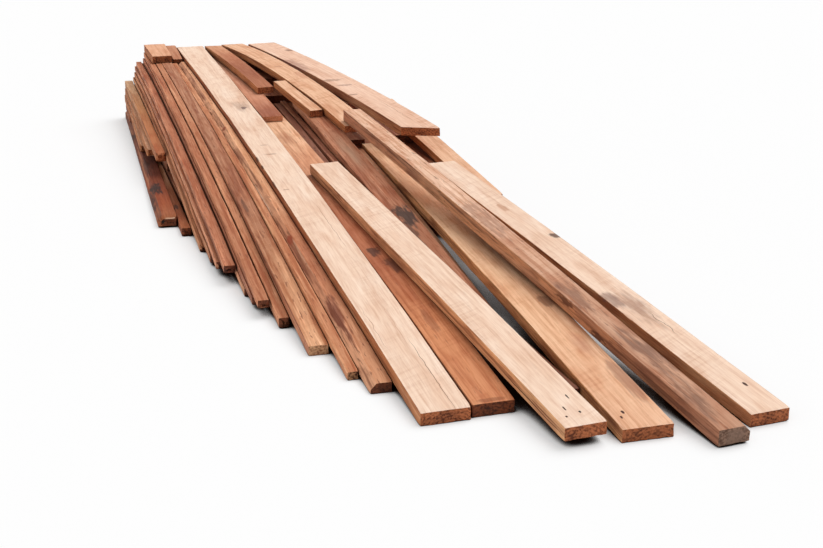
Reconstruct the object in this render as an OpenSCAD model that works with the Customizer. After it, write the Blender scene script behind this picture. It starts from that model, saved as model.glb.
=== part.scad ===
// Loose stack of rough-sawn hardwood boards.
// The boards were piled with their back ends one on another and their front ends fanned out on the ground.
// Each board is laid out in plan. Its height and tilt are worked out by letting it settle on the boards below.
// Plan coordinates are in millimetres: x runs across the stack from its left side, y is 0 at the back ends and
// falls towards the front ends.

/* [Thicknesses] */
// Thickness of the thinnest boards
thin = 26; // [22:1:30]
// Thickness of the common boards
middling = 32; // [28:1:36]
// Thickness of the heavier boards
heavy = 38; // [34:1:44]
// Thickness of the two thick planks
plank = 46; // [42:1:54]

/* [Widths] */
// Width of the narrow boards
narrow = 95; // [80:1:105]
// Width of the medium boards
medium = 120; // [110:1:125]
// Width of the wide boards
wide = 144; // [130:1:150]

/* [Sawn edges] */
// Flat left by the saw along each long edge
eased = 2; // [1:0.5:4]
// Width of the bark-side slant on the boards that have one
wane = 18; // [10:1:24]

/* [Core] */
// Layers of plain boards hidden inside the stack
core_layers = 8; // [7:1:8]
// Width of the hidden boards
core_width = 142; // [130:1:150]
// Step between the back ends of neighbouring hidden boards
stagger = 14; // [0:1:25]

/* [Seating] */
// Clear height left between a board and what it lies on
seat = 0.3; // [0.2:0.1:0.6]

/* [Hidden] */
stations = 8;
near = 0.01;

// Columns of a board: name, back-left corner, front-left corner, widths at the back and front, thickness, crown,
// wane side, tone, slant. The crown is the height of its upward bow. The wane side is -1 for left, 1 for right, 0 for
// none. The slant is how far the right front corner stands ahead of the left one, if it isn't cut square.
NAME = 0;
BACK = 1;
FRONT = 2;
WIDTHS = 3;
THICK = 4;
CROWN = 5;
SIDE = 6;
TONE = 7;
SLANT = 8;

// Hidden rows, left to right: name, width, layers, front of the lowest layer, front of the highest layer, back.
// The rows lie side by side, the first one against the back corner of the lowest side board.
core_rows = [
    ["core_row_1", 64, core_layers - 3, -2000, -100, 0],
    ["core_row_2", 44, core_layers - 1, -2600, -60, 0],
    ["core_row_3", 136, core_layers, -3000, -400, 0],
    ["core_row_4", core_width, core_layers, -2700, -500, 0],
    ["core_row_5", core_width, core_layers, -2700, -500, 0],
    ["core_row_6", core_width, core_layers + 1, -2700, -500, 0],
    ["core_row_7", 170, core_layers - 1, -2600, -1400, 0],
    ["core_row_8", core_width, core_layers - 5, -2700, -2300, -700],
    ["core_row_9", core_width, core_layers - 3, -3540, -1760, -700]
];
core_left = 60 + seat;
function row_left(r) = r == 0 ? core_left : row_left(r - 1) + core_rows[r - 1][1] + seat;
function layer_foot(layer) = layer * (heavy + seat);
function layer_front(row, layer) = row[3] + (row[4] - row[3]) * layer / (row[2] - 1);
function layer_back(row, r, layer) = row[5] - stagger * ((3 * r + 5 * layer) % 4);
core_boards = [
    for (r = [0:len(core_rows) - 1])
        let (row = core_rows[r], x = row_left(r))
            for (layer = [0:row[2] - 1])
                [[row[0], [x, layer_back(row, r, layer)], [x, layer_front(row, layer)], [row[1], row[1]], heavy, 0, 0,
                    "tan"], [layer_foot(layer), 0]]
];

side_boards = [
    ["side_board_01", [0, 0], [-63, -2314], [60, 76], plank, 0, -1, "sienna"],
    ["side_board_02", [43, -900], [12, -2458], [16, 37], middling, 0, 0, "peru"],
    ["side_board_03", [6, -20], [-8, -420], [44, 44], thin, 0, 0, "burlywood"],
    ["side_board_04", [4, 0], [-20, -1150], [44, 44], heavy, 0, 0, "burlywood"],
    ["step_board", [7, -12], [-10, -1380], [44, 44], heavy, 0, 0, "peru"],
    ["side_board_05", [10, 0], [8, -1630], [42, 42], heavy, 0, 0, "burlywood"],
    ["side_board_06", [55, 0], [49, -2684], [48, 68], thin, 30, 0, "peru"],
    ["side_board_07", [62, -18], [62, -2863], [41, 57], thin, 30, 0, "sienna"],
    ["side_board_08", [68, 0], [66, -2985], [35, 53], thin, 30, 0, "sienna"],
    ["side_board_09", [75, -25], [79, -3086], [28, 40], thin, 30, 0, "sienna"],
    ["side_board_10", [105, -8], [123, -3228], [43, 45], thin, 32, 0, "peru"],
    ["side_board_11", [112, -22], [126, -3358], [36, 41], thin, 32, 0, "sienna"],
    ["side_board_12", [120, -5], [130, -3444], [28, 37], thin, 32, 0, "sienna"],
    ["top_rail", [170, 0], [170, -60], [124, 124], thin, 0, 0, "tan"],
    ["side_board_13", [152, -345], [174, -3555], [28, 34], middling, 36, 0, "peru"],
    ["side_board_14", [183, -345], [211, -3791], [53, 62], middling, 36, 0, "burlywood"],
    ["side_board_15", [238, -330], [276, -4001], [25, 33], thin, 36, 0, "peru"],
    ["side_board_16", [266, -330], [312, -4113], [34, 64], middling, 36, -1, "sienna"]
];

upper_boards = [
    ["back_rail", [309, 0], [309, -100], [130, 130], thin, 0, 0, "tan"],
    ["left_top_board", [124, 0], [137, -330], [114, 104], heavy, 0, 0, "burlywood"],
    ["left_inner_board", [242, -10], [246, -310], [52, 50], plank, 0, 0, "peru"],
    ["orange_board", [464, -1000], [527, -4335], [medium, medium], heavy, 30, 0, "peru"],
    ["shade_board_1", [603, -1250], [650, -3800], [33, 33], middling, 10, 0, "sienna"],
    ["shade_board_2", [640, -1200], [684, -3900], [27, 27], middling, 10, 0, "peru"],
    ["stained_board", [664, -1380], [733, -3700], [narrow, narrow], heavy, 15, 0, "tan"],
    ["wedge_board", [815, -1950], [833, -3600], [40, 12], thin, 15, 0, "peru"],
    ["amber_board", [860, -1900], [833, -4584], [wide, wide], heavy, 14, 0, "sandybrown"],
    ["right_under_board", [1085, -1250], [1122, -2700], [narrow, narrow], middling, 5, 0, "peru"],
    ["pink_board", [450, 0], [478, -1620], [narrow, narrow], thin, 10, 0, "rosybrown"],
    ["pale_board", [298, -15], [382, -4348], [wide, wide - 4], heavy, 40, 0, "wheat"],
    ["inner_board", [450, -30], [535, -1200], [90, 80], middling, 10, 0, "tan"],
    ["offcut", [616, -1180], [678, -1700], [60, 60], middling, 0, 0, "burlywood"],
    ["bearer_1", [760, -20], [793, -1525], [110, 110], middling, 0, 0, "tan"],
    ["bearer_2", [792, -60], [808, -1000], [100, 100], thin, 0, 0, "burlywood"],
    ["back_board", [545, 0], [775, -1950], [medium, medium], middling, 40, 0, "burlywood"],
    ["gap_board", [735, -3720], [752, -4330], [80, 80], plank, 0, 0, "peru"],
    ["cream_board", [514, -2434], [680, -4580], [medium - 4, medium], heavy, 5, 0, "wheat"],
    ["grey_plank", [786, -1875], [1045, -4680], [narrow, narrow], plank, 10, 1, "rosybrown"],
    ["right_board", [1004, -2390], [1186, -4593], [medium, medium], heavy, 5, 0, "burlywood"],
    ["bowed_board", [680, -94], [984, -2085], [wide + 6, wide + 6], heavy, 20, 0, "tan", 70]
];

loose_boards = concat(side_boards, upper_boards);
boards = concat([for (s = core_boards) s[0]], loose_boards);

// Plan geometry of a board
function slant(b) = len(b) > SLANT ? b[SLANT] : 0;
function run(b) = norm(b[BACK] - b[FRONT]);
function along(b) = (b[BACK] - b[FRONT]) / run(b);
function across(b) = [along(b).y, -along(b).x];
function corners(b) = [
    b[BACK],
    b[FRONT],
    b[BACK] + across(b) * b[WIDTHS][0],
    b[FRONT] + across(b) * b[WIDTHS][1] - along(b) * slant(b)
];
function back_reach(b) = max(corners(b)[0].y, corners(b)[2].y);
function front_reach(b) = min(corners(b)[1].y, corners(b)[3].y);
function on_line(p, q, y) = p.x + (y - p.y) * (q.x - p.x) / (q.y - p.y);

// Where a crosswise line at y enters and leaves a board, which its square-cut ends may shorten
function entry(b, y) =
    let (c = corners(b), side = on_line(c[1], c[0], y))
        max(concat([side],
            y < c[1].y ? [on_line(c[1], c[3], y)] : [],
            y > c[0].y ? [on_line(c[0], c[2], y)] : []));
function exit(b, y) =
    let (c = corners(b), side = on_line(c[3], c[2], y))
        min(concat([side],
            y < c[3].y ? [on_line(c[1], c[3], y)] : [],
            y > c[2].y ? [on_line(c[0], c[2], y)] : []));
function meets_at(b, c, y) =
    y >= front_reach(c) - near && y <= back_reach(c) + near &&
    entry(b, y) < exit(c, y) + near && entry(c, y) < exit(b, y) + near;
function crosses(b, c) =
    let (
        bx = [for (p = corners(b)) p.x],
        cx = [for (p = corners(c)) p.x]
    )
        front_reach(b) < back_reach(c) && front_reach(c) < back_reach(b) &&
        min(bx) < max(cx) && min(cx) < max(bx);

// Height of a board's underside above the line through its two ends, straight from one station to the next
function arch(b, station) = 4 * b[CROWN] * station * (stations - station) / stations ^ 2;
function bow(b, y) =
    let (
        at = stations * (y - b[FRONT].y) / (b[BACK].y - b[FRONT].y),
        station = floor(at)
    )
        arch(b, station) * (station + 1 - at) + arch(b, station + 1) * (at - station);

// A settled board lies on the line z = rest[0] + rest[1] * y, plus its bow
function underside(b, rest, y) = rest[0] + rest[1] * y + bow(b, y);

// Heights that a board has to clear, one [y, z] for each place along it
function bearing(b, below, y) =
    [y, max(concat([0], [
        for (s = below)
            if (meets_at(b, s[0], y)) underside(s[0], s[1], y) + s[0][THICK] + seat
    ])) - bow(b, y)];
function end_places(p, q) = abs(p.y - q.y) < near ? [p.y] : [for (i = [0:4]) p.y + (q.y - p.y) * i / 4];
function lean(p, q) = (p.x - q.x) / (p.y - q.y);
function side_crossings(c, d) = [
    for (i = [0, 2]) for (k = [0, 2])
        let (turn = lean(c[i], c[i + 1]) - lean(d[k], d[k + 1]))
            if (turn != 0) c[i].y + (on_line(d[k], d[k + 1], c[i].y) - c[i].x) / turn
];
function places(b, below) =
    let (
        own = corners(b),
        halves = 2 * stations,
        found = concat(
            [for (i = [0:halves]) b[FRONT].y + (b[BACK].y - b[FRONT].y) * i / halves],
            [for (s = concat([[b]], below)) let (c = corners(s[0]))
                each concat(end_places(c[1], c[3]), end_places(c[0], c[2]))],
            [for (s = below) each side_crossings(own, corners(s[0]))]
        )
    )
        [for (y = found) if (y >= front_reach(b) && y <= back_reach(b)) y];

// The resting line is the pair of bearings, either side of the middle, that holds the middle highest
function settle(b, below) =
    let (
        points = [for (y = places(b, below)) bearing(b, below, y)],
        middle = (front_reach(b) + back_reach(b)) / 2,
        pairs = [for (p = points) if (p.x < middle - near) for (q = points) if (q.x > middle + near)
            let (slope = (q.y - p.y) / (q.x - p.x))
                [p.y + slope * (middle - p.x), p.y - slope * p.x, slope]],
        highest = max([for (p = pairs) p[0]]),
        best = [for (p = pairs) if (p[0] == highest) p][0]
    )
        [best[1], best[2]];
function settle_all(done) =
    len(done) == len(boards)
        ? done
        : let (b = boards[len(done)], below = [for (s = done) if (crosses(b, s[0])) s])
            settle_all(concat(done, [[b, settle(b, below)]]));
settled = settle_all(core_boards);

// The stack's frame has its origin under the middle of its box
all_corners = [for (b = boards) for (c = corners(b)) c];
centre = [
    (min([for (c = all_corners) c.x]) + max([for (c = all_corners) c.x])) / 2,
    (min([for (c = all_corners) c.y]) + max([for (c = all_corners) c.y])) / 2
];

NODES = concat([for (row = core_rows) row[0]], [for (b = loose_boards) b[NAME]]);

// Outline of a board's cross-section, seen from the front, from its lower left corner round to its upper left
function section(b, share) =
    let (
        w = b[WIDTHS][1] + (b[WIDTHS][0] - b[WIDTHS][1]) * share,
        t = b[THICK],
        left = b[SIDE] < 0 ? wane : eased,
        right = b[SIDE] > 0 ? wane : eased
    )
        [[eased, 0], [w - eased, 0], [w, eased], [w, t - right], [w - right, t], [left, t], [0, t - left], [0, eased]];

// A board is its section carried along its length, following its bow
module sawn_board(b, rest) {
    steps = b[CROWN] == 0 ? 1 : stations;
    count = len(section(b, 0));
    rings = [for (i = [0:steps])
        let (share = i / steps, foot = b[FRONT] + (b[BACK] - b[FRONT]) * share)
            [for (p = section(b, share))
                let (
                    ahead = slant(b) * (1 - share) * p.x / b[WIDTHS][1],
                    at = foot + across(b) * p.x - along(b) * ahead
                )
                    [at.x - centre.x, at.y - centre.y, underside(b, rest, at.y) + p.y]]];
    sides = [for (i = [0:steps - 1]) for (k = [0:count - 1])
        let (next = (k + 1) % count)
            [i * count + k, i * count + next, (i + 1) * count + next, (i + 1) * count + k]];
    front_end = [[for (k = [count - 1:-1:0]) k]];
    back_end = [[for (k = [0:count - 1]) steps * count + k]];
    polyhedron([for (ring = rings) for (p = ring) p], concat(sides, front_end, back_end));
}

module settled_boards(name) {
    for (s = settled)
        if (s[0][NAME] == name)
            color(s[0][TONE])
                sawn_board(s[0], s[1]);
}

for (name = NODES)
    settled_boards(name);
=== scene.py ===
import math

import bmesh
import bpy
import numpy as np
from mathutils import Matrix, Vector


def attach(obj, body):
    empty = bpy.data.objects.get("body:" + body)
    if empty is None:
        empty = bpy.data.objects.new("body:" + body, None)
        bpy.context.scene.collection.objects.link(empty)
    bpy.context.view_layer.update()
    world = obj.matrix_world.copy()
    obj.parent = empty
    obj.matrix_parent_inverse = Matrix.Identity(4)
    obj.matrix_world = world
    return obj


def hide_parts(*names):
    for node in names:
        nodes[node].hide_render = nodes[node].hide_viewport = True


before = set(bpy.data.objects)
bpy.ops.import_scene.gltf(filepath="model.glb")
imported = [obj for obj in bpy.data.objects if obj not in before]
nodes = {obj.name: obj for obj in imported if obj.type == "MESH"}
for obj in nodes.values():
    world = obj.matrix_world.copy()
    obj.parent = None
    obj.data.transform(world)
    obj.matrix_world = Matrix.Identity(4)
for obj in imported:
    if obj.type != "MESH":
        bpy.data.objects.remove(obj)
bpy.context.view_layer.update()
scene = bpy.context.scene
scene.view_settings.view_transform = "Standard"
print("frame loaded:", len(nodes), "boards and rows of boards")


def tone(red, green, blue):  # screen colour, 0 to 255, as the linear colour a shader takes
    share = [c / 255 for c in (red, green, blue)]
    return tuple(c / 12.92 if c <= 0.04045 else ((c + 0.055) / 1.055) ** 2.4 for c in share) + (1,)


# camera, at the photo's own place in front of the stack

photoView = {
    "place": (-1.1213, -4.917, 1.4),  # metres
    "downDeg": 18.06,
    "rightDeg": 16.5,
    "lens": 56.86,  # millimetres, as is the sensor
    "sensor": 36,
}


def addCamera(view):
    turn = (math.radians(90 - view["downDeg"]), 0, -math.radians(view["rightDeg"]))
    bpy.ops.object.camera_add(location=view["place"], rotation=turn)
    camera = bpy.context.object
    camera.data.sensor_width = view["sensor"]
    camera.data.lens = view["lens"]
    scene.camera = camera


addCamera(photoView)


# node helpers

def addNode(tree, kind, **settings):
    node = tree.nodes.new(kind)
    for name, value in settings.items():
        setattr(node, name, value)
    return node


def feed(tree, socket, value):  # a socket takes a link, or a plain value
    if isinstance(value, bpy.types.NodeSocket):
        tree.links.new(value, socket)
    elif value is not None:
        socket.default_value = value


def maths(tree, operation, first, second=None, clamp=False):
    node = addNode(tree, "ShaderNodeMath", operation=operation, use_clamp=clamp)
    feed(tree, node.inputs[0], first)
    feed(tree, node.inputs[1], second)
    return node.outputs[0]


def vectorMaths(tree, operation, first, second=None, output="Vector"):
    node = addNode(tree, "ShaderNodeVectorMath", operation=operation)
    feed(tree, node.inputs[0], first)
    feed(tree, node.inputs[1], second)
    return node.outputs[output]


def between(tree, value, low, high, smooth=True):  # 0 at low, 1 at high
    node = addNode(tree, "ShaderNodeMapRange", interpolation_type="SMOOTHSTEP" if smooth else "LINEAR")
    feed(tree, node.inputs["Value"], value)
    feed(tree, node.inputs["From Min"], low)
    feed(tree, node.inputs["From Max"], high)
    return node.outputs["Result"]


def blendTones(tree, share, first, second, mode="MIX"):
    node = addNode(tree, "ShaderNodeMix", data_type="RGBA", blend_type=mode)
    feed(tree, node.inputs["Factor"], share)
    feed(tree, node.inputs[6], first)
    feed(tree, node.inputs[7], second)
    return node.outputs[2]


def noise(tree, vector, scale, detail=2.0, output="Fac"):
    node = addNode(tree, "ShaderNodeTexNoise")
    feed(tree, node.inputs["Vector"], vector)
    node.inputs["Scale"].default_value = scale
    node.inputs["Detail"].default_value = detail
    return node.outputs[output]


def startGroup(name, inputs, outputs):
    group = bpy.data.node_groups.new(name, "ShaderNodeTree")
    for label, kind in inputs:
        group.interface.new_socket(label, in_out="INPUT", socket_type="NodeSocket" + kind)
    for label, kind in outputs:
        group.interface.new_socket(label, in_out="OUTPUT", socket_type="NodeSocket" + kind)
    return group, addNode(group, "NodeGroupInput").outputs, addNode(group, "NodeGroupOutput").inputs


def useGroup(tree, group, **values):
    node = addNode(tree, "ShaderNodeGroup", node_tree=group)
    for label, value in values.items():
        feed(tree, node.inputs[label], value)
    return node.outputs


# shared effects, all in a board's own place: metres across from its left edge,
# along from its front end and up from its underside

grainLook = {
    "pith": (0.05, 0, -0.06),  # where the tree's middle lay, unless a board gives its own
    "ringGap": 0.009,
    "ringSharpness": 2.5,
    "ringFall": (1.0, 0.88),  # share of a ring over which it turns pale again
    "wander": 0.05,
    "swing": (3, 0.6, 3),  # this and the next four are marks in a metre, across, along and up
    "streak": (75, 2.6, 75),
    "fibre": (210, 13, 210),
    "cloud": (15, 4.5, 15),
    "fleck": (140, 17, 140),
}
sawLook = {
    "slant": math.radians(24),
    "strokeSize": (0.2, 0.012, 0.2),  # metres
    "stroke": (0.45, 0.72),  # where the noise starts to mark the wood and where it marks it fully
    "patches": (9, 2.5, 9),  # marks in a metre
    "patch": (0.4, 0.62),
}
spotLook = {
    "drift": (0, 16, 0),  # marks in a metre
    "tear": 1.7,  # marks in half the spot's width
    "split": (64, 9, 64),
}


def seededPlace(group, given, stride):
    shift = vectorMaths(group, "SCALE", stride)
    group.links.new(given["seed"], shift.node.inputs["Scale"])
    return vectorMaths(group, "ADD", given["place"], shift)


def stretched(group, place, scale, detail, output="Fac"):
    return noise(group, vectorMaths(group, "MULTIPLY", place, scale), 1, detail, output)


def scaledSwing(group, colour, amount):  # a noise colour, turned into a push either way
    push = vectorMaths(group, "SCALE", vectorMaths(group, "SUBTRACT", colour, (0.5, 0.5, 0.5)))
    group.links.new(amount, push.node.inputs["Scale"])
    return push


def makeGrainGroup(plan):
    group, given, put = startGroup(
        "sawnGrain",
        [("place", "Vector"), ("seed", "Float"), ("pith", "Vector"),
         ("ringGap", "Float"), ("wander", "Float")],
        [("rings", "Float"), ("streak", "Vector"), ("fibre", "Float"),
         ("cloud", "Vector"), ("fleck", "Float")],
    )
    seeded = seededPlace(group, given, (3.7, 11.3, 5.9))
    swing = scaledSwing(group, stretched(group, seeded, plan["swing"], 2, "Color"), given["wander"])
    offset = vectorMaths(group, "ADD", vectorMaths(group, "SUBTRACT", given["place"], given["pith"]), swing)
    reach = vectorMaths(group, "LENGTH", vectorMaths(group, "MULTIPLY", offset, (1, 0, 1)), output="Value")
    turn = maths(group, "FRACT", maths(group, "DIVIDE", reach, given["ringGap"]))
    rise = maths(group, "POWER", turn, plan["ringSharpness"])  # each ring darkens outwards
    fall = between(group, turn, *plan["ringFall"])
    group.links.new(maths(group, "MULTIPLY", rise, fall), put["rings"])
    bent = vectorMaths(group, "ADD", seeded, vectorMaths(group, "MULTIPLY", swing, (0.25, 0, 0.25)))
    group.links.new(stretched(group, bent, plan["streak"], 5, "Color"), put["streak"])
    group.links.new(stretched(group, bent, plan["fibre"], 4), put["fibre"])
    group.links.new(stretched(group, seeded, plan["cloud"], 6, "Color"), put["cloud"])
    group.links.new(stretched(group, bent, plan["fleck"], 2), put["fleck"])
    return group


def makeSawGroup(plan):
    group, given, put = startGroup(
        "sawMarks", [("place", "Vector"), ("seed", "Float")], [("strokes", "Float")],
    )
    seeded = seededPlace(group, given, (2.1, 4.3, 1.7))
    slanted = addNode(group, "ShaderNodeMapping", vector_type="TEXTURE")
    slanted.inputs["Rotation"].default_value = (0, 0, plan["slant"])
    slanted.inputs["Scale"].default_value = plan["strokeSize"]
    group.links.new(seeded, slanted.inputs["Vector"])
    strokes = between(group, noise(group, slanted.outputs["Vector"], 1, 3), *plan["stroke"])
    patches = between(group, stretched(group, seeded, plan["patches"], 2), *plan["patch"])
    group.links.new(maths(group, "MULTIPLY", strokes, patches), put["strokes"])
    return group


def makeSpotGroup(plan):
    group, given, put = startGroup(
        "spot",
        [("place", "Vector"), ("centre", "Vector"), ("size", "Vector"),
         ("ragged", "Float"), ("soft", "Float"), ("wander", "Float")],
        [("mask", "Float")],
    )
    place = given["place"]
    drift = scaledSwing(group, stretched(group, place, plan["drift"], 3, "Color"), given["wander"])
    offset = vectorMaths(group, "SUBTRACT", vectorMaths(group, "ADD", place, drift), given["centre"])
    near = vectorMaths(group, "DIVIDE", offset, given["size"])
    torn = scaledSwing(group, noise(group, near, plan["tear"], 4, "Color"), given["ragged"])
    split = scaledSwing(group, stretched(group, place, plan["split"], 6, "Color"), given["ragged"])
    rough = vectorMaths(group, "ADD", vectorMaths(group, "ADD", near, torn), split)
    reach = vectorMaths(group, "LENGTH", rough, output="Value")
    group.links.new(between(group, reach, 1.0, maths(group, "SUBTRACT", 1.0, given["soft"])), put["mask"])
    return group


grainGroup = makeGrainGroup(grainLook)
sawGroup = makeSawGroup(sawLook)
spotGroup = makeSpotGroup(spotLook)
print("wood effects made")


# finish of a board: its face, its sawn edges and its ends are told apart by which way they look

ratios = {  # what each sort of mark does to the tone under it
    "shade": (0.68, 0.5, 0.4, 1),
    "blush": (0.84, 0.69, 0.6, 1),
    "light": (1.05, 1.13, 1.2, 1),
    "pale": (1.5, 1.7, 1.85, 1),
    # painted shade in crevices between boards
    "creviceShade": (0.3, 0.24, 0.2, 1),
}
ranges = {  # where a mask starts and where it is full
    "fibre": (0.4, 0.68),
    "streak": (0.47, 0.63),
    "pale": (0.51, 0.66),
    "blush": (0.46, 0.66),
    "light": (0.48, 0.68),
    "edgeBlush": (0.46, 0.64),
    "torn": (0.42, 0.64),
    "speck": (0.63, 0.7),
    "edge": (0.35, 0.6),  # how far a face looks sideways
    "end": (0.55, 0.8),  # how far it looks endways
    "creviceShade": (0.62, 0.1),  # how open a place is, from no painted shade at 0.62 to full painted shade at 0.1
}
edgeShares = {"streak": 0.75, "pale": 0.6, "fibre": 0.35}
endShares = {"ring": 0.45, "blush": 0.4, "torn": 0.6}
woodFinish = {
    "roughRange": (-1.4, 1.2),  # of the fibre noise, for a roughness of 0 to 1
    "specular": 0.25,
    "fibreRelief": 0.8,
    "sawRelief": -0.3,
    "reliefStrength": 0.5,
    "reliefDepth": 0.002,
    # metres, how far the painted crevice shade looks for other wood
    "creviceShadeReach": 0.07,
}


def splitXYZ(tree, vector):
    node = addNode(tree, "ShaderNodeSeparateXYZ")
    feed(tree, node.inputs[0], vector)
    return node.outputs


def runTone(tree, share, stops):  # a tone that changes from a board's front end to its back end
    ramp = addNode(tree, "ShaderNodeValToRGB")
    feed(tree, ramp.inputs["Fac"], share)
    marks = ramp.color_ramp.elements
    marks[0].position, marks[0].color = stops[0]
    marks[1].position, marks[1].color = stops[-1]
    for position, shade in stops[1:-1]:
        marks.new(position).color = shade
    return ramp.outputs["Color"]


def addShares(tree, masks, shares):  # masks added up, each with its share, to 1 at most
    parts = [maths(tree, "MULTIPLY", masks[name], share) for name, share in shares.items()]
    total = parts[0]
    for part in parts[1:]:
        total = maths(tree, "ADD", total, part, True)
    return total


def dyed(tree, colour, mask, share, dye, mode="MIX"):
    return blendTones(tree, maths(tree, "MULTIPLY", mask, share), colour, dye, mode)


def readGrain(tree, look, place):  # masks of the marks in one board's wood
    grain = useGroup(
        tree, grainGroup, place=place, seed=look["seed"], pith=look.get("pith", grainLook["pith"]),
        ringGap=grainLook["ringGap"], wander=grainLook["wander"],
    )
    streak = splitXYZ(tree, grain["streak"])
    cloud = splitXYZ(tree, grain["cloud"])
    sources = {
        "fibre": grain["fibre"], "streak": streak["X"], "pale": streak["Y"], "blush": cloud["X"],
        "light": cloud["Y"], "edgeBlush": cloud["Z"], "torn": grain["fleck"], "speck": grain["fleck"],
    }
    masks = {name: between(tree, source, *ranges[name]) for name, source in sources.items()}
    masks["ring"] = grain["rings"]
    masks["saw"] = useGroup(tree, sawGroup, place=place, seed=look["seed"])["strokes"]
    return masks, grain["fibre"]


def faceColour(tree, look, masks, share):
    tones = look["tones"]
    colour = runTone(tree, share, look["run"]) if "run" in look else tones["face"]
    shadeShares = {name: tones[name + "Share"] for name in ("ring", "streak", "fibre", "saw")}
    colour = blendTones(tree, addShares(tree, masks, shadeShares), colour, ratios["shade"], "MULTIPLY")
    for name in ("blush", "light", "pale"):
        colour = dyed(tree, colour, masks[name], tones[name + "Share"], ratios[name], "MULTIPLY")
    return colour


def edgeColour(tree, look, masks, share):
    tones = look["tones"]
    colour = runTone(tree, share, look["edgeRun"]) if "edgeRun" in look else tones["edge"]
    colour = dyed(tree, colour, masks["edgeBlush"], tones["edgeBlushShare"], tones["edgeBlush"])
    colour = dyed(tree, colour, masks["streak"], edgeShares["streak"], tones["edgeDark"])
    colour = dyed(tree, colour, masks["pale"], edgeShares["pale"], tones["edgeLight"])
    return dyed(tree, colour, masks["fibre"], edgeShares["fibre"], tones["edgeDark"])


def endColour(tree, look, masks):
    tones = look["tones"]
    return blendTones(tree, addShares(tree, masks, endShares), tones["end"], tones["endDark"])


def looksAlong(tree, direction, name):
    facing = addNode(tree, "ShaderNodeNewGeometry").outputs["Normal"]
    turned = vectorMaths(tree, "DOT_PRODUCT", facing, tuple(direction), "Value")
    return between(tree, maths(tree, "ABSOLUTE", turned), *ranges[name])


def paintedCreviceShade(tree):  # painted shade: the wood is darkened where boards lie against each other, by how closed in each place is
    creviceShade = addNode(tree, "ShaderNodeAmbientOcclusion", samples=6)
    creviceShade.inputs["Distance"].default_value = woodFinish["creviceShadeReach"]
    return between(tree, creviceShade.outputs["AO"], *ranges["creviceShade"])


def makeWood(look, along, across, length):
    wood = bpy.data.materials.new(look["node"] + "_wood")
    wood.use_nodes = True
    tree = wood.node_tree
    tree.nodes.clear()
    finish = addNode(tree, "ShaderNodeOutputMaterial")
    shader = addNode(tree, "ShaderNodeBsdfPrincipled")
    tree.links.new(shader.outputs["BSDF"], finish.inputs["Surface"])
    place = addNode(tree, "ShaderNodeAttribute", attribute_name="place").outputs["Vector"]
    share = maths(tree, "DIVIDE", splitXYZ(tree, place)["Y"], length)
    masks, fibre = readGrain(tree, look, place)
    tones = look["tones"]

    face = faceColour(tree, look, masks, share)
    edge = edgeColour(tree, look, masks, share)
    colour = blendTones(tree, looksAlong(tree, across, "edge"), face, edge)
    colour = blendTones(tree, looksAlong(tree, along, "end"), colour, endColour(tree, look, masks))
    colour = dyed(tree, colour, masks["speck"], tones["speckShare"], tones["edgeDark"])
    # painted shade where boards lie against each other
    colour = blendTones(tree, paintedCreviceShade(tree), colour, ratios["creviceShade"], "MULTIPLY")
    height = maths(tree, "MULTIPLY", fibre, woodFinish["fibreRelief"])
    height = maths(tree, "ADD", height, maths(tree, "MULTIPLY", masks["saw"], woodFinish["sawRelief"]))
    for blemish in look.get("spots", []):
        mask = useGroup(tree, spotGroup, place=place, **blemish["shape"])["mask"]
        colour = dyed(tree, colour, mask, blemish["share"], blemish["tone"])
        if blemish["depth"]:
            height = maths(tree, "SUBTRACT", height, maths(tree, "MULTIPLY", mask, blemish["depth"]))
    tree.links.new(colour, shader.inputs["Base Color"])
    tree.links.new(between(tree, fibre, *woodFinish["roughRange"], False), shader.inputs["Roughness"])
    shader.inputs["Specular IOR Level"].default_value = woodFinish["specular"]
    relief = addNode(tree, "ShaderNodeBump")
    relief.inputs["Strength"].default_value = woodFinish["reliefStrength"]
    relief.inputs["Distance"].default_value = woodFinish["reliefDepth"]
    tree.links.new(height, relief.inputs["Height"])
    tree.links.new(relief.outputs["Normal"], shader.inputs["Normal"])
    return wood


# sawn boards: a copy of the CAD board, cut into a fine grid, then roughened

sawing = {
    "stationGap": 0.017,  # between cuts along a board
    "crossGap": 0.013,
    "uprightCuts": 2,
    "merge": 0.00002,
    "shortestRun": 0.05,  # shorter edges along a board stay whole
    "shortestSide": 0.012,
    "facing": 0.9,  # least cosine for a face that looks a given way
    "sameWay": 0.93,  # least cosine for an edge that runs a given way
    "flatAngle": math.radians(3),
    "arrisAngle": math.radians(30),
    "smoothAngle": math.radians(40),
}


def deselectAll():
    if bpy.context.object and bpy.context.object.mode != "OBJECT":
        bpy.ops.object.mode_set(mode="OBJECT")
    bpy.ops.object.select_all(action="DESELECT")


def boardAxis(mesh):  # level direction from front end to back end, read off the back end's face
    total = Vector((0, 0, 0))
    for face in mesh.polygons:
        if face.normal.y > sawing["facing"]:
            total += face.normal * face.area
    return Vector((total.x, total.y, 0)).normalized()


def selectEdgesAlong(piece, direction, shortest):
    bpy.ops.mesh.select_all(action="DESELECT")
    shape = bmesh.from_edit_mesh(piece.data)
    longest = 0
    for edge in shape.edges:
        span = edge.verts[1].co - edge.verts[0].co
        if span.length > shortest and abs(span.normalized().dot(direction)) > sawing["sameWay"]:
            edge.select_set(True)
            longest = max(longest, span.length)
    bmesh.update_edit_mesh(piece.data)
    return longest


def cutEdges(piece, direction, shortest, gap):
    cuts = round(selectEdgesAlong(piece, direction, shortest) / gap) - 1
    if cuts > 0:
        bpy.ops.mesh.subdivide(number_cuts=cuts)


def selectFacing(piece, directions):
    bpy.ops.mesh.select_all(action="DESELECT")
    shape = bmesh.from_edit_mesh(piece.data)
    for face in shape.faces:
        if any(face.normal.dot(direction) > sawing["facing"] for direction in directions):
            face.select_set(True)
    bmesh.update_edit_mesh(piece.data)


def keepSelectedAs(piece, name):
    piece.vertex_groups.new(name=name)
    piece.vertex_groups.active_index = piece.vertex_groups[name].index
    bpy.ops.object.vertex_group_assign()


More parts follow.
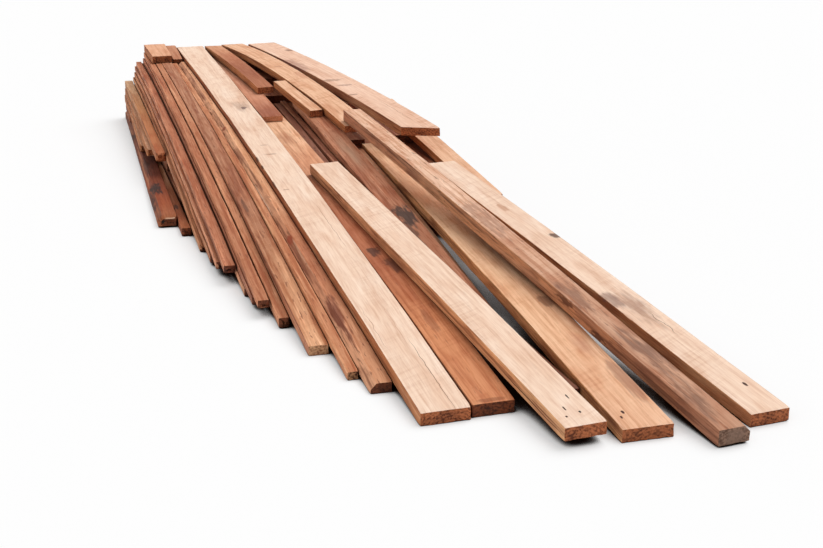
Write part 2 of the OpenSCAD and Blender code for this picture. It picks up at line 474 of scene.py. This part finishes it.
def storePlace(piece, along, across):  # each point's place in its own board, for the grain
    mesh = piece.data
    points = np.empty(len(mesh.vertices) * 3)
    mesh.vertices.foreach_get("co", points)
    points = points.reshape(-1, 3)
    down = points @ np.array(along)
    side = points @ np.array(across)
    underFaces = [face for face in mesh.polygons if face.normal.z < -sawing["facing"]]
    under = np.unique([point for face in underFaces for point in face.vertices])
    bow = np.polyfit(points[under, 1], points[under, 2], 2)
    up = points[:, 2] - np.polyval(bow, points[:, 1])
    place = np.column_stack([side - side.min(), down - down.min(), up])
    mesh.attributes.new("place", "FLOAT_VECTOR", "POINT").data.foreach_set("vector", place.ravel())
    return float(np.ptp(down))


def copyBoard(nodeName):
    deselectAll()
    piece = bpy.data.objects.new(nodeName + "_sawn", nodes[nodeName].data.copy())
    scene.collection.objects.link(piece)
    piece.data.materials.clear()
    bpy.context.view_layer.objects.active = piece
    piece.select_set(True)
    bpy.ops.mesh.customdata_custom_splitnormals_clear()
    return piece


def gridBoard(look):
    piece = copyBoard(look["node"])
    along = boardAxis(piece.data)
    across = Vector((along.y, -along.x, 0))
    bpy.ops.object.mode_set(mode="EDIT")
    bpy.ops.mesh.select_mode(type="FACE")
    bpy.ops.mesh.select_all(action="SELECT")
    bpy.ops.mesh.remove_doubles(threshold=sawing["merge"])
    bpy.ops.mesh.tris_convert_to_quads(face_threshold=sawing["flatAngle"], shape_threshold=math.pi)
    for end in (along, -along):  # each end becomes one face
        selectFacing(piece, [end])
        bpy.ops.mesh.dissolve_faces()
    bpy.ops.mesh.select_mode(type="EDGE")
    cutEdges(piece, along, sawing["shortestRun"], look.get("stationGap", sawing["stationGap"]))
    cutEdges(piece, across, sawing["shortestSide"], sawing["crossGap"])
    if selectEdgesAlong(piece, Vector((0, 0, 1)), sawing["shortestSide"]):
        bpy.ops.mesh.subdivide(number_cuts=sawing["uprightCuts"])
    bpy.ops.mesh.select_all(action="DESELECT")
    bpy.ops.mesh.edges_select_sharp(sharpness=sawing["arrisAngle"])
    keepSelectedAs(piece, "arrises")
    bpy.ops.mesh.select_mode(type="FACE")
    selectFacing(piece, [along, -along])
    keepSelectedAs(piece, "ends")
    bpy.ops.object.mode_set(mode="OBJECT")
    return piece, along, across


def cloudTexture(name, size, depth, contrast, bright=1.0):
    texture = bpy.data.textures.new(name, "CLOUDS")
    texture.noise_scale = size
    texture.noise_depth = depth
    texture.contrast = contrast
    texture.intensity = bright
    texture.use_clamp = True
    return texture


bendTexture = cloudTexture("slowBend", size=0.7, depth=1, contrast=1.2)
waverTexture = cloudTexture("sawnWaver", size=0.06, depth=2, contrast=1.0)
chipTexture = cloudTexture("chippedArris", size=0.03, depth=3, contrast=2.3, bright=0.0)
endTexture = cloudTexture("roughEnd", size=0.012, depth=3, contrast=1.0)
brokenTexture = cloudTexture("brokenEnd", size=0.045, depth=2, contrast=1.0)
usualWear = {"bend": 0.004, "waver": 0.0008, "chips": 0.006, "endDepth": 0.004}  # metres


def displace(piece, texture, strength, middle, direction="NORMAL", group=""):
    step = piece.modifiers.new(texture.name, "DISPLACE")
    step.texture = texture
    step.texture_coords = "LOCAL"
    step.strength = strength
    step.mid_level = middle
    step.direction = direction
    step.vertex_group = group
    bpy.ops.object.modifier_apply(modifier=step.name)


def roughen(piece, look):  # all but the slow bend only takes wood away
    wear = {**usualWear, **look}
    displace(piece, bendTexture, wear["bend"], 0.5, "X")
    displace(piece, waverTexture, wear["waver"], 1.0)
    displace(piece, chipTexture, -wear["chips"], 0.0, group="arrises")  # only its bright spots bite
    displace(piece, endTexture, wear["endDepth"], 1.0, group="ends")
    if "broken" in wear:
        displace(piece, brokenTexture, wear["broken"], 1.0, group="ends")
    piece.vertex_groups.clear()
    bpy.ops.object.shade_smooth_by_angle(angle=sawing["smoothAngle"])


def sawBoard(look):
    piece, along, across = gridBoard(look)
    length = storePlace(piece, along, across)
    roughen(piece, look)
    piece.data.materials.append(makeWood(look, along, across, length))
    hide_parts(look["node"])
    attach(piece, "root")
    print(look["node"], "sawn:", len(piece.data.polygons), "faces")


# a stain, knot, hole or crack

def spot(centre, size, dye, share=1.0, depth=0, ragged=0.7, soft=0.5, wander=0.0):
    shape = {"centre": centre, "size": size, "ragged": ragged, "soft": soft, "wander": wander}
    return {"shape": shape, "tone": dye, "share": share, "depth": depth}


# tones of the sorts of board in the stack

paleTones = {
    "face": tone(249, 219, 195), "edge": tone(198, 130, 86), "edgeDark": tone(128, 70, 44),
    "edgeLight": tone(224, 166, 120), "edgeBlush": tone(160, 94, 60), "end": tone(200, 118, 74),
    "endDark": tone(96, 48, 27), "ringShare": 0.2, "streakShare": 0.25, "fibreShare": 0.26, "sawShare": 0.22,
    "blushShare": 0.42, "lightShare": 0.5, "edgeBlushShare": 0.6, "speckShare": 0.08, "paleShare": 0.05,
}
amberTones = {
    "face": tone(240, 192, 156), "edge": tone(194, 124, 76), "edgeDark": tone(122, 66, 38),
    "edgeLight": tone(216, 150, 100), "edgeBlush": tone(156, 90, 54), "end": tone(188, 110, 68),
    "endDark": tone(84, 42, 23), "ringShare": 0.25, "streakShare": 0.4, "fibreShare": 0.25, "sawShare": 0.2,
    "blushShare": 0.75, "lightShare": 0.5, "edgeBlushShare": 0.6, "speckShare": 0.14, "paleShare": 0.06,
}
tanTones = {
    "face": tone(180, 120, 88), "edge": tone(208, 140, 104), "edgeDark": tone(124, 70, 48),
    "edgeLight": tone(232, 174, 136), "edgeBlush": tone(160, 96, 68), "end": tone(130, 72, 46),
    "endDark": tone(64, 32, 20), "ringShare": 0.2, "streakShare": 0.8, "fibreShare": 0.4, "sawShare": 0.2,
    "blushShare": 0.8, "lightShare": 0.6, "edgeBlushShare": 0.7, "speckShare": 0.7, "paleShare": 0.6,
}
brownTones = {
    "face": tone(170, 112, 86), "edge": tone(200, 134, 104), "edgeDark": tone(104, 60, 48),
    "edgeLight": tone(222, 162, 128), "edgeBlush": tone(140, 86, 66), "end": tone(122, 66, 44),
    "endDark": tone(56, 28, 18), "ringShare": 0.2, "streakShare": 0.8, "fibreShare": 0.4, "sawShare": 0.2,
    "blushShare": 0.8, "lightShare": 0.6, "edgeBlushShare": 0.8, "speckShare": 0.7, "paleShare": 0.6,
}
redTones = {
    "face": tone(150, 86, 60), "edge": tone(176, 102, 68), "edgeDark": tone(92, 46, 30),
    "edgeLight": tone(206, 138, 98), "edgeBlush": tone(128, 68, 46), "end": tone(136, 72, 42),
    "endDark": tone(62, 30, 17), "ringShare": 0.25, "streakShare": 0.55, "fibreShare": 0.3, "sawShare": 0.2,
    "blushShare": 0.8, "lightShare": 0.5, "edgeBlushShare": 0.7, "speckShare": 0.25, "paleShare": 0.2,
}
greyTones = {
    "face": tone(196, 148, 122), "edge": tone(192, 132, 96), "edgeDark": tone(110, 68, 50),
    "edgeLight": tone(218, 164, 126), "edgeBlush": tone(146, 96, 74), "end": tone(162, 126, 104),
    "endDark": tone(92, 66, 53), "ringShare": 0.3, "streakShare": 0.6, "fibreShare": 0.35, "sawShare": 0.3,
    "blushShare": 0.8, "lightShare": 0.6, "edgeBlushShare": 0.7, "speckShare": 0.5, "paleShare": 0.2,
}


def tinted(tones, red, green, blue):  # the same sort of wood, darker or lighter
    shift = (red, green, blue, 1)
    changed = {}
    for name in ("face", "edge", "edgeLight", "edgeBlush", "edgeDark"):
        changed[name] = tuple(min(1, level * factor) for level, factor in zip(tones[name], shift))
    return {**tones, **changed}


charTone = tone(36, 23, 18)
knotTone = tone(74, 40, 28)
smudgeTone = tone(148, 102, 82)

# left wall of board edges, from the floor up

lowestBoard = {
    "node": "side_board_01", "slot": "red_wood", "tones": redTones, "seed": 1.0,
    "waver": 0.002, "broken": 0.026,
    "run": [
        (0.0, tone(170, 104, 66)), (0.1, tone(160, 80, 42)), (0.2, tone(148, 72, 40)),
        (0.4, tone(104, 52, 34)), (0.7, tone(108, 62, 46)), (1.0, tone(156, 116, 92)),
    ],
    "edgeRun": [
        (0.0, tone(176, 104, 66)), (0.2, tone(168, 84, 48)), (0.45, tone(122, 60, 38)),
        (1.0, tone(136, 88, 68)),
    ],
    "spots": [
        spot((0.03, 0.47, 0.046), (0.03, 0.12, 0.04), charTone, share=0.9, ragged=1.8),
        spot((0.0, 0.3, 0.03), (0.014, 0.2, 0.03), charTone, share=0.75, ragged=1.8),
        spot((0.02, 0.91, 0.046), (0.02, 0.2, 0.03), charTone, share=0.6, ragged=2.0),
        spot((0.0, 1.6, 0.03), (0.03, 0.1, 0.03), charTone, share=0.8, ragged=1.0),
        spot((0.016, 0.0, 0.026), (0.013, 0.02, 0.01), charTone, soft=0.3, depth=3.0),
        spot((0.05, 0.0, 0.044), (0.03, 0.012, 0.008), tone(224, 186, 156), share=0.8),
    ],
}
sawBoard(lowestBoard)

secondBoard = {
    "node": "side_board_02", "slot": "orange_wood", "tones": redTones, "seed": 2.0, "broken": 0.026,
    "run": [
        (0.0, tone(176, 104, 64)), (0.4, tone(170, 100, 64)), (0.62, tone(222, 174, 138)),
        (1.0, tone(216, 168, 130)),
    ],
    "spots": [
        spot((0.012, 0.34, 0.032), (0.012, 0.05, 0.02), knotTone, share=0.85),
        spot((0.0, 0.3, 0.03), (0.006, 0.05, 0.012), charTone, share=0.8),
    ],
}
sawBoard(secondBoard)

wallEnds = {"broken": 0.022}  # metres, how deep their ends are splintered
for wallBoard in (
    {"node": "side_board_03", "slot": "pale_wood", "tones": redTones, "seed": 3.0},
    {"node": "side_board_04", "slot": "pale_wood", "tones": amberTones, "seed": 4.0},
    {"node": "step_board", "slot": "orange_wood", "tones": amberTones, "seed": 4.5, "broken": 0.016},
    {
        "node": "side_board_05", "slot": "pale_wood", "tones": amberTones, "seed": 5.0,
        "run": [
            (0.0, tone(190, 116, 74)), (0.3, tone(204, 134, 88)), (0.6, tone(206, 148, 100)),
            (1.0, tone(224, 190, 154)),
        ],
        "edgeRun": [(0.0, tone(186, 112, 70)), (0.4, tone(204, 140, 94)), (1.0, tone(206, 160, 122))],
    },
    {
        "node": "side_board_06", "slot": "orange_wood", "seed": 6.0,
        "tones": tinted(tanTones, 1.15, 1.24, 1.18),
    },
    {
        "node": "side_board_07", "slot": "red_wood", "seed": 7.0,
        "tones": tinted(tanTones, 1.1, 1.08, 0.98),
    },
    {
        "node": "side_board_08", "slot": "red_wood", "seed": 8.0,
        "tones": tinted(brownTones, 1.4, 1.42, 1.3),
    },
    {
        "node": "side_board_09", "slot": "red_wood", "seed": 9.0,
        "tones": tinted(brownTones, 1.35, 1.3, 1.15),
    },
    {
        "node": "side_board_10", "slot": "orange_wood", "seed": 10.0,
        "tones": tinted(brownTones, 1.45, 1.52, 1.4),
    },
    {
        "node": "side_board_11", "slot": "red_wood", "seed": 11.0,
        "tones": tinted(brownTones, 1.15, 1.08, 1.0),
    },
    {
        "node": "side_board_12", "slot": "red_wood", "seed": 12.0,
        "tones": tinted(tanTones, 1.15, 1.12, 1.05),
    },
    {
        "node": "side_board_13", "slot": "orange_wood", "seed": 13.0,
        "tones": tinted(tanTones, 1.25, 1.3, 1.25),
    },
):
    sawBoard({**wallEnds, **wallBoard})

tanEdgeBoard = {
    "node": "side_board_14", "slot": "pale_wood", "seed": 14.0,
    "tones": {**tanTones, "end": tone(240, 188, 142), "endDark": tone(150, 92, 60)},
    "run": [
        (0.0, tone(230, 174, 132)), (0.1, tone(206, 148, 108)), (0.3, tone(172, 114, 82)),
        (0.7, tone(182, 126, 94)), (1.0, tone(186, 130, 98)),
    ],
    "spots": [
        spot((0.03, 2.4, 0.032), (0.01, 0.05, 0.02), tone(130, 64, 42), share=0.7, ragged=1.6),
        spot((0.02, 1.1, 0.032), (0.01, 0.12, 0.02), knotTone, share=0.6, ragged=1.8),
        spot((0.0, 0.7, 0.02), (0.01, 0.12, 0.01), knotTone, share=0.7, ragged=1.8),
    ],
}
sawBoard(tanEdgeBoard)

thinEdgeBoard = {
    "node": "side_board_15", "slot": "orange_wood", "seed": 15.0,
    "tones": tinted({**tanTones, "end": tone(226, 166, 118)}, 1.3, 1.35, 1.25),
}
sawBoard(thinEdgeBoard)

waneyBoard = {
    "node": "side_board_16", "slot": "red_wood", "seed": 16.0, "waver": 0.0015, "chips": 0.012,
    "tones": {**tanTones, "streakShare": 0.5, "blushShare": 0.5},
    "run": [
        (0.0, tone(218, 158, 118)), (0.25, tone(190, 122, 86)), (0.5, tone(236, 176, 132)),
        (1.0, tone(230, 172, 132)),
    ],
    "edgeRun": [
        (0.0, tone(236, 174, 134)), (0.25, tone(200, 130, 94)), (0.5, tone(240, 178, 136)),
        (1.0, tone(236, 174, 136)),
    ],
    "spots": [
        spot((0.02, 0.42, 0.03), (0.02, 0.2, 0.03), tone(112, 54, 36), share=0.8, ragged=1.8),
        spot((0.01, 1.05, 0.026), (0.014, 0.05, 0.02), tone(150, 66, 38), share=0.9),
        spot((0.012, 2.4, 0.026), (0.012, 0.025, 0.02), tone(142, 66, 42), share=0.85),
        spot((0.0, 1.5, 0.02), (0.006, 0.2, 0.012), tone(240, 208, 180), share=0.7, ragged=1.2),
    ],
}
sawBoard(waneyBoard)
print("left wall done")

# boards on top, from left to right

leftTopBoard = {
    "node": "left_top_board", "slot": "pale_wood", "seed": 34.0,
    "tones": {**amberTones, "face": tone(234, 178, 142)},
}
sawBoard(leftTopBoard)

leftInnerBoard = {
    "node": "left_inner_board", "slot": "orange_wood", "seed": 35.0,
    "tones": {**amberTones, "face": tone(206, 146, 112)},
}
sawBoard(leftInnerBoard)

paleBoard = {
    "node": "pale_board", "slot": "pale_wood", "tones": paleTones, "seed": 21.0, "pith": (0.09, 0, -0.05),
    "edgeRun": [
        (0.0, tone(206, 136, 88)), (0.3, tone(176, 102, 62)), (0.6, tone(150, 80, 48)),
        (1.0, tone(172, 102, 66)),
    ],
    "spots": [
        spot((0.09, 2.9, 0.038), (0.055, 0.12, 0.02), smudgeTone, share=0.5, ragged=1.1, soft=0.9),
        spot((0.1, 2.87, 0.038), (0.02, 0.03, 0.02), tone(92, 64, 62), share=0.75, ragged=1.2),
        spot((0.0, 2.09, 0.034), (0.008, 0.04, 0.012), knotTone, share=0.8, depth=1.5),
        spot((0.0, 1.99, 0.034), (0.007, 0.03, 0.01), knotTone, share=0.8, depth=1.5),
        spot((0.0, 1.77, 0.034), (0.006, 0.05, 0.01), knotTone, share=0.7, depth=1.5),
        spot((0.0, 2.55, 0.03), (0.006, 0.14, 0.01), tone(120, 62, 42), share=0.6, ragged=1.2),
        spot((0.065, 2.27, 0.038), (0.02, 0.005, 0.01), tone(170, 116, 88), share=0.7),
        spot((0.065, 2.14, 0.038), (0.03, 0.008, 0.01), tone(150, 98, 76), share=0.6),
        spot((0.03, 1.7, 0.038), (0.016, 0.006, 0.01), tone(160, 104, 80), share=0.6),
        spot((0.1, 1.3, 0.038), (0.0015, 0.25, 0.01), tone(176, 120, 90), share=0.7, wander=0.012),
        spot((0.096, 0.19, 0.038), (0.0015, 0.26, 0.02), tone(128, 76, 52), share=0.8,
             wander=0.012, ragged=0.2),
        spot((0.085, 0.5, 0.038), (0.0012, 0.2, 0.02), tone(196, 140, 110), share=0.6,
             wander=0.012, ragged=0.2),
        spot((0.02, 0.5, 0.038), (0.0012, 0.16, 0.02), tone(170, 112, 82), share=0.7, wander=0.02),
    ],
}
sawBoard(paleBoard)

pinkBoard = {
    "node": "pink_board", "slot": "grey_wood", "seed": 22.0,
    "tones": {**amberTones, "end": tone(226, 160, 124), "endDark": tone(190, 124, 92)},
    "run": [
        (0.0, tone(170, 104, 74)), (0.1, tone(182, 116, 86)), (0.2, tone(214, 152, 120)),
        (1.0, tone(226, 172, 140)),
    ],
    "spots": [
        spot((0.05, 0.08, 0.026), (0.06, 0.07, 0.02), tone(150, 84, 58), share=0.6, ragged=1.2),
        spot((0.04, 0.75, 0.026), (0.03, 0.1, 0.02), tone(190, 122, 92), share=0.5, ragged=1.2),
    ],
}
sawBoard(pinkBoard)

orangeBoard = {
    "node": "orange_board", "slot": "orange_wood", "tones": redTones, "seed": 23.0, "pith": (0.06, 0, -0.08),
    # paler at the back end and orange-tan at the front; the darker, redder middle is painted shadow of
    # cream_board
    "run": [
        (0.0, tone(218, 148, 104)), (0.14, tone(212, 140, 94)), (0.28, tone(176, 102, 66)),
        (0.45, tone(190, 118, 82)), (0.62, tone(222, 160, 122)), (0.74, tone(240, 190, 152)),
        (1.0, tone(240, 190, 152)),
    ],
    "spots": [
        spot((0.04, 1.05, 0.038), (0.03, 0.05, 0.02), knotTone, share=0.85, ragged=1.2),
        spot((0.075, 0.93, 0.038), (0.035, 0.08, 0.02), tone(88, 46, 30), share=0.8, ragged=1.2),
        spot((0.05, 2.43, 0.038), (0.05, 0.14, 0.02), tone(168, 100, 66), share=0.6, soft=0.9),
        spot((0.09, 1.5, 0.038), (0.006, 0.01, 0.02), knotTone, share=0.9),
        spot((0.05, 0.5, 0.038), (0.02, 0.1, 0.02), tone(132, 72, 44), share=0.5, ragged=1.2),
        spot((0.06, 0.015, 0.038), (0.05, 0.012, 0.02), tone(120, 66, 40), share=0.5),
    ],
}
sawBoard(orangeBoard)

# painted shade: the boards deep in the gaps get darkened copies of their tones
paintedShadeAmber = tinted(amberTones, 0.75, 0.7, 0.66)
paintedShadeTan = tinted(tanTones, 0.65, 0.58, 0.54)
paintedShadeBrown = tinted(brownTones, 0.6, 0.54, 0.5)
for shadeBoard in (
    {"node": "shade_board_1", "slot": "red_wood", "tones": paintedShadeBrown, "seed": 36.0},
    {"node": "shade_board_2", "slot": "orange_wood", "tones": paintedShadeTan, "seed": 37.0},
    {"node": "wedge_board", "slot": "orange_wood", "tones": paintedShadeAmber, "seed": 38.0},
):
    sawBoard(shadeBoard)

# painted shade: gap_board's tone is darkened to about half
gapBoard = {
    "node": "gap_board", "slot": "orange_wood", "tones": tinted(brownTones, 0.5, 0.45, 0.42), "seed": 39.0,
}
sawBoard(gapBoard)

innerBoard = {
    "node": "inner_board", "slot": "tan_wood", "tones": amberTones, "seed": 32.0,
    "run": [
        (0.0, tone(180, 114, 80)), (0.3, tone(160, 94, 62)), (0.7, tone(196, 130, 94)),
        (1.0, tone(222, 166, 128)),
    ],
}
sawBoard(innerBoard)

offcut = {"node": "offcut", "slot": "pale_wood", "tones": amberTones, "seed": 33.0}
sawBoard(offcut)

creamBoard = {
    "node": "cream_board", "slot": "pale_wood", "tones": paleTones, "seed": 24.0, "pith": (0.03, 0, -0.07),
    "edgeRun": [(0.0, tone(244, 186, 134)), (0.35, tone(236, 172, 122)), (1.0, tone(224, 158, 112))],
    "spots": [
        spot((0.08, 0.142, 0.038), (0.003, 0.014, 0.02), charTone, soft=0.4, depth=3.0, ragged=1.2),
        spot((0.075, 0.062, 0.038), (0.004, 0.006, 0.02), charTone, soft=0.4, depth=3.0, ragged=1.2),
        spot((0.032, 0.05, 0.038), (0.004, 0.005, 0.02), knotTone, soft=0.4, depth=2.0, ragged=1.2),
        spot((0.045, 0.09, 0.038), (0.003, 0.012, 0.02), knotTone, soft=0.3, depth=2.0),
        spot((0.0, 0.2, 0.014), (0.012, 0.22, 0.0025), tone(84, 44, 28), share=0.9, wander=0.008),
        spot((0.0, 0.1, 0.022), (0.012, 0.12, 0.0018), tone(96, 52, 34), share=0.8, wander=0.006),
    ],
}
sawBoard(creamBoard)

stainedBoard = {
    "node": "stained_board", "slot": "tan_wood", "tones": tanTones, "seed": 29.0,
    "spots": [
        spot((0.06, 0.8, 0.038), (0.04, 0.12, 0.03), tone(50, 36, 30), share=0.9, ragged=1.8),
        spot((0.03, 0.62, 0.038), (0.035, 0.16, 0.03), tone(72, 46, 36), share=0.7, ragged=2.0),
        spot((0.05, 1.5, 0.038), (0.04, 0.3, 0.02), tone(170, 142, 116), share=0.5, soft=0.9),
    ],
}
sawBoard(stainedBoard)

amberBoard = {
    "node": "amber_board", "slot": "orange_wood", "tones": amberTones, "seed": 25.0, "pith": (0.1, 0, -0.05),
    "run": [(0.0, tone(240, 190, 154)), (0.3, tone(244, 196, 156)), (1.0, tone(248, 204, 164))],
    "edgeRun": [(0.0, tone(236, 170, 116)), (0.4, tone(244, 182, 126)), (1.0, tone(240, 176, 120))],
    "spots": [
        spot((0.125, 0.25, 0.038), (0.03, 0.16, 0.02), smudgeTone, share=0.55, ragged=1.2),
        spot((0.095, 0.48, 0.038), (0.035, 0.12, 0.02), tone(186, 128, 102), share=0.5, soft=0.9),
        spot((0.04, 0.085, 0.038), (0.005, 0.01, 0.02), knotTone, soft=0.3, depth=2.0),
        spot((0.025, 0.06, 0.038), (0.004, 0.008, 0.02), knotTone, soft=0.3, depth=2.0),
        spot((0.11, 0.8, 0.038), (0.03, 0.05, 0.02), tone(120, 72, 52), share=0.6, ragged=1.2),
    ],
}
sawBoard(amberBoard)

greyPlank = {
    "node": "grey_plank", "slot": "grey_wood", "tones": greyTones, "seed": 26.0, "bend": 0.006,
    "run": [
        (0.0, tone(196, 146, 116)), (0.2, tone(204, 156, 126)), (0.42, tone(222, 176, 146)),
        (0.6, tone(240, 200, 172)), (1.0, tone(240, 198, 168)),
    ],
    "edgeRun": [
        (0.0, tone(178, 120, 90)), (0.25, tone(206, 144, 104)), (0.6, tone(222, 160, 116)),
        (1.0, tone(190, 128, 98)),
    ],
    "spots": [
        spot((0.0, 0.8, 0.03), (0.02, 0.07, 0.018), tone(92, 52, 36), share=0.85, ragged=1.6),
        spot((0.0, 0.6, 0.014), (0.02, 0.05, 0.016), tone(84, 46, 32), share=0.85, ragged=1.6),
        spot((0.03, 0.8, 0.046), (0.04, 0.14, 0.01), tone(124, 84, 66), share=0.65, ragged=1.7, soft=0.8),
        spot((0.05, 0.42, 0.046), (0.05, 0.22, 0.02), tone(110, 74, 60), share=0.7, ragged=1.8, soft=0.8),
        spot((0.03, 0.14, 0.046), (0.04, 0.13, 0.02), tone(116, 78, 60), share=0.7, ragged=1.7, soft=0.8),
        spot((0.04, 1.45, 0.046), (0.05, 0.2, 0.01), smudgeTone, share=0.5, ragged=2.2),
        spot((0.05, 0.0, 0.02), (0.04, 0.01, 0.03), tone(140, 112, 96), share=0.6, ragged=1.0),
    ],
}
sawBoard(greyPlank)

rightBoard = {
    "node": "right_board", "slot": "pale_wood", "tones": paleTones, "seed": 27.0, "pith": (0.02, 0, -0.09),
    "spots": [
        spot((0.083, 0.147, 0.038), (0.006, 0.014, 0.02), knotTone, soft=0.4, depth=2.0),
        spot((0.065, 0.68, 0.038), (0.06, 0.16, 0.02), smudgeTone, share=0.6, ragged=1.3, soft=0.8),
        spot((0.02, 0.75, 0.038), (0.03, 0.07, 0.02), tone(120, 84, 76), share=0.6, ragged=1.2),
        spot((0.08, 0.56, 0.038), (0.002, 0.12, 0.02), tone(110, 70, 54), share=0.7, wander=0.03),
        spot((0.105, 1.3, 0.038), (0.02, 0.03, 0.03), knotTone, share=0.85, ragged=1.0),
        spot((0.06, 1.62, 0.038), (0.02, 0.05, 0.02), tone(190, 136, 106), share=0.6, ragged=1.2),
    ],
}
sawBoard(rightBoard)

rightUnderBoard = {"node": "right_under_board", "slot": "orange_wood", "tones": amberTones, "seed": 28.0}
sawBoard(rightUnderBoard)

backBoard = {
    "node": "back_board", "slot": "pale_wood", "tones": {**amberTones, "sawShare": 0.5}, "seed": 31.0,
    "spots": [
        spot((0.1, 0.87, 0.032), (0.03, 0.1, 0.02), tone(196, 128, 96), share=0.5, ragged=1.2),
        spot((0.06, 1.1, 0.032), (0.03, 0.02, 0.02), tone(190, 128, 98), share=0.6, ragged=1.2),
    ],
}
sawBoard(backBoard)

bowedBoard = {
    "node": "bowed_board", "slot": "tan_wood", "seed": 30.0,
    "tones": {**paleTones, "face": tone(244, 204, 178), "sawShare": 0.6},
    "edgeRun": [
        (0.0, tone(200, 138, 98)), (0.5, tone(184, 122, 90)), (0.7, tone(146, 92, 74)),
        (1.0, tone(160, 104, 82)),
    ],
    "spots": [
        spot((0.04, 0.95, 0.038), (0.06, 0.03, 0.02), smudgeTone, share=0.55, ragged=1.2),
        spot((0.06, 0.83, 0.038), (0.05, 0.02, 0.02), tone(150, 104, 90), share=0.5, ragged=1.2),
        spot((0.01, 1.35, 0.038), (0.05, 0.2, 0.03), tone(150, 104, 92), share=0.5, ragged=1.2),
        spot((0.13, 1.78, 0.038), (0.03, 0.03, 0.02), knotTone, share=0.6, ragged=1.2),
        spot((0.02, 0.64, 0.038), (0.03, 0.012, 0.02), tone(140, 94, 80), share=0.6, ragged=1.2),
        spot((0.09, 0.3, 0.038), (0.0015, 0.25, 0.02), tone(150, 102, 82), share=0.7, wander=0.02),
    ],
}
sawBoard(bowedBoard)
print("upper boards done")

# hidden pieces inside the stack, which show only in the gaps, at the back and on the right

hiddenKinds = ("core_row", "bearer", "top_rail", "back_rail")
# painted shade: a darkened copy of the tan tones for the pieces seen only in gaps
hiddenShadeTones = tinted(tanTones, 0.8, 0.74, 0.7)
hiddenNodes = sorted(name for name in nodes if name.startswith(hiddenKinds))
for number, nodeName in enumerate(hiddenNodes):
    hiddenBoards = {
        "node": nodeName, "slot": "pale_wood" if nodeName == "bearer_2" else "tan_wood",
        "tones": hiddenShadeTones, "seed": 40.0 + number, "stationGap": 0.08,
    }
    sawBoard(hiddenBoards)
print("hidden pieces done")


# floor and light

studio = {
    "floorSize": 60,
    "floorTone": tone(246, 246, 246),
    # painted shade: the floor's colour in gaps between boards, spread by gapReach and gapRange
    "gapShadeTone": tone(44, 27, 18),
    "floorGlow": 0.75,  # share of the open floor that stays white whatever falls on it
    "gapReach": 0.2,
    "gapRange": (0.2, 0.48),  # how open a place on the floor is, from dark to white
    "skyStrength": 0.32,
    "keyTurn": (math.radians(-16), math.radians(30), 0),  # from above, a little behind and to the right
    "keySpread": math.radians(50),
    "keyStrength": 2.4,
    "fillTurn": (math.radians(14), math.radians(-58), 0),  # low from the left, a little from the front
    "fillSpread": math.radians(80),
    "fillStrength": 0.9,
}


def addFloor(plan):
    deselectAll()
    bpy.ops.mesh.primitive_plane_add(size=plan["floorSize"], location=(0, 0, 0))
    floor = bpy.context.object
    floor.name = "floor"
    paint = bpy.data.materials.new("paleFloor")
    paint.use_nodes = True
    tree = paint.node_tree
    tree.nodes.clear()
    finish = addNode(tree, "ShaderNodeOutputMaterial")
    matt = addNode(tree, "ShaderNodeBsdfDiffuse")
    white = addNode(tree, "ShaderNodeEmission")
    white.inputs["Strength"].default_value = 1.0
    path = addNode(tree, "ShaderNodeLightPath")
    clear = addNode(tree, "ShaderNodeAmbientOcclusion", samples=32)  # painted shade: the floor turns dark brown in gaps and loses its white glow there
    clear.inputs["Distance"].default_value = plan["gapReach"]
    lit = between(tree, clear.outputs["AO"], *plan["gapRange"])
    tree.links.new(blendTones(tree, lit, plan["gapShadeTone"], plan["floorTone"]), matt.inputs["Color"])
    glow = maths(tree, "MULTIPLY", maths(tree, "MULTIPLY", lit, clear.outputs["AO"]), plan["floorGlow"])
    seen = maths(tree, "MULTIPLY", path.outputs["Is Camera Ray"], glow)
    mix = addNode(tree, "ShaderNodeMixShader")
    tree.links.new(seen, mix.inputs["Fac"])
    tree.links.new(matt.outputs[0], mix.inputs[1])
    tree.links.new(white.outputs[0], mix.inputs[2])
    tree.links.new(mix.outputs[0], finish.inputs["Surface"])
    floor.data.materials.append(paint)


def addLight(plan):
    world = bpy.data.worlds.new("studioSky")
    scene.world = world
    world.use_nodes = True
    tree = world.node_tree
    tree.nodes.clear()
    finish = addNode(tree, "ShaderNodeOutputWorld")
    sky = addNode(tree, "ShaderNodeBackground")
    path = addNode(tree, "ShaderNodeLightPath")
    straight = maths(tree, "MAXIMUM", path.outputs["Is Camera Ray"], path.outputs["Is Glossy Ray"])
    straight = maths(tree, "MAXIMUM", straight, path.outputs["Is Transmission Ray"])
    spare = maths(tree, "MULTIPLY", straight, 1 - plan["skyStrength"])
    tree.links.new(maths(tree, "ADD", spare, plan["skyStrength"]), sky.inputs["Strength"])
    tree.links.new(sky.outputs[0], finish.inputs["Surface"])
    for lamp in ("key", "fill"):
        bpy.ops.object.light_add(type="SUN", rotation=plan[lamp + "Turn"])
        sun = bpy.context.object
        sun.data.angle = plan[lamp + "Spread"]
        sun.data.energy = plan[lamp + "Strength"]


addFloor(studio)
addLight(studio)
print("floor and light done")
